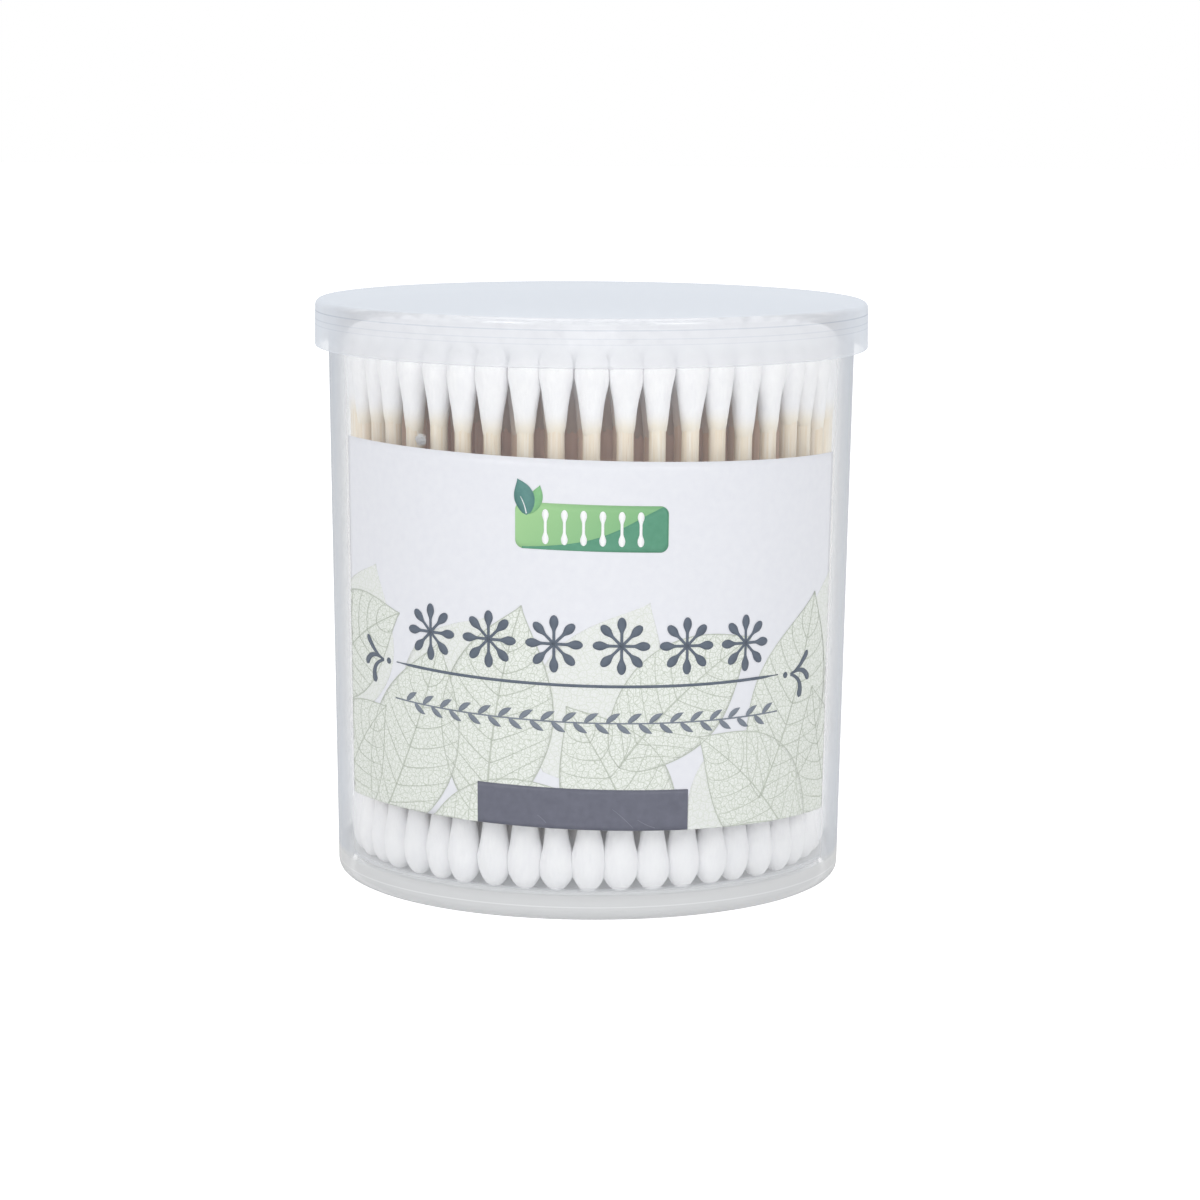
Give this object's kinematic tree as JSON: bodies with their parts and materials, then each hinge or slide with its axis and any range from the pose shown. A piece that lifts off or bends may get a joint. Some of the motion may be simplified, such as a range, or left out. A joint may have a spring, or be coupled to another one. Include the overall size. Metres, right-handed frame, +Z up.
{
  "type": "cotton swab tub",
  "caption": "Round see-through plastic tub with a push-fit lid and a wrap label, packed with wooden cotton swabs standing on end.",
  "frame": {"origin": "centre of the foot ring, on the surface that the tub stands on", "axes": "+Z up along the tub's axis, the label faces -Y"},
  "size_m": [0.0766, 0.0766, 0.08],
  "materials": {
    "tub_plastic": "clear to milky polypropylene, smooth",
    "lid_plastic": "milky polypropylene, satin top",
    "label_film": "printed label, satin",
    "bamboo": "bare bamboo, smooth",
    "cotton": "wound white cotton"
  },
  "bodies": {
    "tub": {"tub": "tub_plastic", "label": "label_film", "sticks_ring_1": "bamboo", "lower_tips_ring_1": "cotton", "upper_tips_ring_1": "cotton", "sticks_ring_2": "bamboo", "lower_tips_ring_2": "cotton", "upper_tips_ring_2": "cotton", "sticks_ring_3": "bamboo", "lower_tips_ring_3": "cotton", "upper_tips_ring_3": "cotton", "sticks_ring_4": "bamboo", "lower_tips_ring_4": "cotton", "upper_tips_ring_4": "cotton", "sticks_ring_5": "bamboo", "lower_tips_ring_5": "cotton", "upper_tips_ring_5": "cotton", "sticks_ring_6": "bamboo", "lower_tips_ring_6": "cotton", "upper_tips_ring_6": "cotton", "sticks_ring_7": "bamboo", "lower_tips_ring_7": "cotton", "upper_tips_ring_7": "cotton", "sticks_ring_8": "bamboo", "lower_tips_ring_8": "cotton", "upper_tips_ring_8": "cotton"},
    "lid": {"lid": "lid_plastic"}
  },
  "joints": [
    {"name": "lid_lift", "type": "slide", "parent": "tub", "child": "lid", "axis": [0, 0, 1], "range_m": [0, 0.04]}
  ]
}
